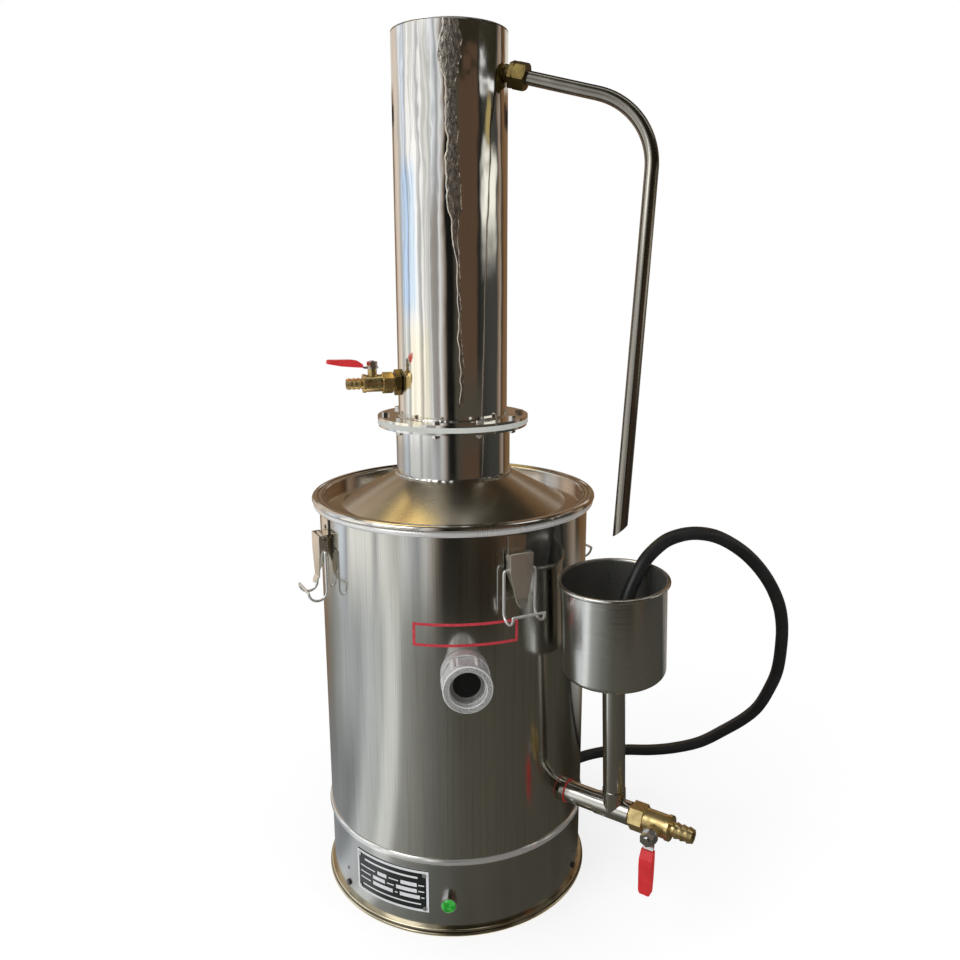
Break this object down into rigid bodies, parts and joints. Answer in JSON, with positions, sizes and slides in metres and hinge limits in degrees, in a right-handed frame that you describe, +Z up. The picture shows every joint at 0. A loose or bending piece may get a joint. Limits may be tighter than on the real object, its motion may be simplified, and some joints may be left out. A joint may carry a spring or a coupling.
{
  "type": "electric water distiller",
  "caption": "Stainless steel electric water distiller: round boiler with a feed cup and drain valve, a clamped cone lid and a tall water-cooled condenser with an inlet valve.",
  "frame": {"origin": "centre of the base, on the floor, under the boiler's axis", "axes": "+Z up along the boiler's axis, -Y to the front where the sight glass is, +X to the right, towards the feed cup"},
  "size_m": [0.5105, 0.3259, 0.843],
  "materials": {
    "brushed": "satin",
    "bright_steel": "polished",
    "mirror_steel": "mirror polished",
    "dark_steel": "satin",
    "alloy": "turned",
    "brass": "cast and turned",
    "red_vinyl": "glossy",
    "black_rubber": "matte",
    "black_plastic": "matte",
    "silicone": "matte",
    "ceramic": "matte",
    "glass": "clear over dark",
    "green_lens": "glossy",
    "plate": "black with bright lines"
  },
  "bodies": {
    "root": {"boiler_shell": "brushed", "boiler_floor": "brushed", "skirt": "brushed", "foot_ring": "dark_steel", "base_cover": "dark_steel", "base_screws": "dark_steel", "heating_elements": "dark_steel", "element_nuts": "brass", "terminal_block": "ceramic", "heater_leads": "black_rubber", "indicator_bezel": "bright_steel", "indicator_lens": "green_lens", "nameplate": "plate", "rivets": "bright_steel", "sight_body": "alloy", "sight_gasket": "black_rubber", "sight_glass": "glass", "sight_ring": "alloy", "feed_seal": "red_vinyl", "feed_pipe": "bright_steel", "feed_tee": "bright_steel", "stand_pipe": "bright_steel", "feed_cup": "brushed", "drain_valve_body": "brass", "drain_hose_tail": "brass", "latch_bases": "bright_steel", "latch_pins": "bright_steel", "cord_gland": "black_plastic", "power_cord": "black_rubber"},
    "lid": {"lid": "brushed", "lid_seal": "silicone", "neck": "bright_steel", "flange_gasket": "silicone", "flange_bolts": "bright_steel", "flange_nuts": "bright_steel", "condenser_shell": "mirror_steel", "inner_chamber": "brushed", "steam_riser": "brushed", "inlet_bush": "brass", "inlet_valve_body": "brass", "inlet_hose_tail": "brass", "return_adaptor": "brass", "return_nut": "brass", "return_tube": "bright_steel"},
    "inlet_handle": {"inlet_ball": "bright_steel", "inlet_handle": "dark_steel", "inlet_grip": "red_vinyl", "inlet_nut": "bright_steel"},
    "drain_handle": {"drain_ball": "bright_steel", "drain_handle": "dark_steel", "drain_grip": "red_vinyl", "drain_nut": "bright_steel"},
    "lever_1": {"latch_lever_1": "bright_steel"},
    "bail_1": {"latch_bail_1": "bright_steel"},
    "lever_2": {"latch_lever_2": "bright_steel"},
    "bail_2": {"latch_bail_2": "bright_steel"},
    "lever_3": {"latch_lever_3": "bright_steel"},
    "bail_3": {"latch_bail_3": "bright_steel"},
    "lever_4": {"latch_lever_4": "bright_steel"},
    "bail_4": {"latch_bail_4": "bright_steel"}
  },
  "joints": [
    {"name": "lid_lift", "type": "slide", "parent": "root", "child": "lid", "axis": [0, 0, 1], "range_m": [0, 0.15]},
    {"name": "inlet_turn", "type": "hinge", "parent": "lid", "child": "inlet_handle", "pos_m": [-0.07656, -0.02488, 0.539], "axis": [0, 0, 1], "range_deg": [0, 90]},
    {"name": "drain_turn", "type": "hinge", "parent": "root", "child": "drain_handle", "pos_m": [0.19496, -0.13651, 0.1215], "axis": [-0.572, -0.817, -0.0732], "range_deg": [0, 90]},
    {"name": "lever_1_swing", "type": "hinge", "parent": "root", "child": "lever_1", "pos_m": [0.06181, -0.12673, 0.384], "axis": [-0.8988, -0.4384, 0], "range_deg": [0, 95]},
    {"name": "bail_1_swing", "type": "hinge", "parent": "lever_1", "child": "bail_1", "pos_m": [0.06225, -0.12763, 0.372], "axis": [-0.8988, -0.4384, 0], "range_deg": [0, 85]},
    {"name": "lever_2_swing", "type": "hinge", "parent": "root", "child": "lever_2", "pos_m": [-0.12563, -0.06401, 0.384], "axis": [-0.454, 0.891, 0], "range_deg": [0, 95]},
    {"name": "bail_2_swing", "type": "hinge", "parent": "lever_2", "child": "bail_2", "pos_m": [-0.12652, -0.06447, 0.372], "axis": [-0.454, 0.891, 0], "range_deg": [0, 85]},
    {"name": "lever_3_swing", "type": "hinge", "parent": "root", "child": "lever_3", "pos_m": [0.12563, 0.06401, 0.384], "axis": [0.454, -0.891, 0], "range_deg": [0, 95]},
    {"name": "bail_3_swing", "type": "hinge", "parent": "lever_3", "child": "bail_3", "pos_m": [0.12652, 0.06447, 0.372], "axis": [0.454, -0.891, 0], "range_deg": [0, 85]},
    {"name": "lever_4_swing", "type": "hinge", "parent": "root", "child": "lever_4", "pos_m": [-0.06401, 0.12563, 0.384], "axis": [0.891, 0.454, 0], "range_deg": [0, 95]},
    {"name": "bail_4_swing", "type": "hinge", "parent": "lever_4", "child": "bail_4", "pos_m": [-0.06447, 0.12652, 0.372], "axis": [0.891, 0.454, 0], "range_deg": [0, 85]}
  ]
}
